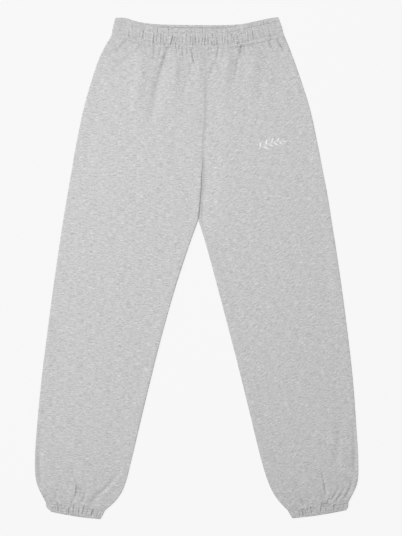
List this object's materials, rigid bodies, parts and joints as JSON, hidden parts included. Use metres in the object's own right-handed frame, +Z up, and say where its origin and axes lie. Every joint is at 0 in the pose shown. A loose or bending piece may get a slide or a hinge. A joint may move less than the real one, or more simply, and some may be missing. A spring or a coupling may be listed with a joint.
{
  "type": "jogger sweatpants",
  "caption": "Relaxed jogger sweatpants of grey marl fleece, laid flat front up, with a gathered elastic waistband and gathered elastic hems.",
  "frame": {"origin": "middle of the footprint, on the surface that the garment lies on", "axes": "+Y from the hems to the waistband, +X to the viewer's right looking at the front, +Z up from the surface through back and front"},
  "size_m": [0.6782, 1.0532, 0.0102],
  "materials": {
    "fleece": "matt grey marl fleece with a smooth knit face and a brushed back"
  },
  "bodies": {
    "root": {"front_left": "fleece", "front_right": "fleece", "back_left": "fleece", "back_right": "fleece", "waistband_front": "fleece", "waistband_back": "fleece", "hem_casing_left": "fleece", "hem_casing_right": "fleece"}
  },
  "joints": []
}
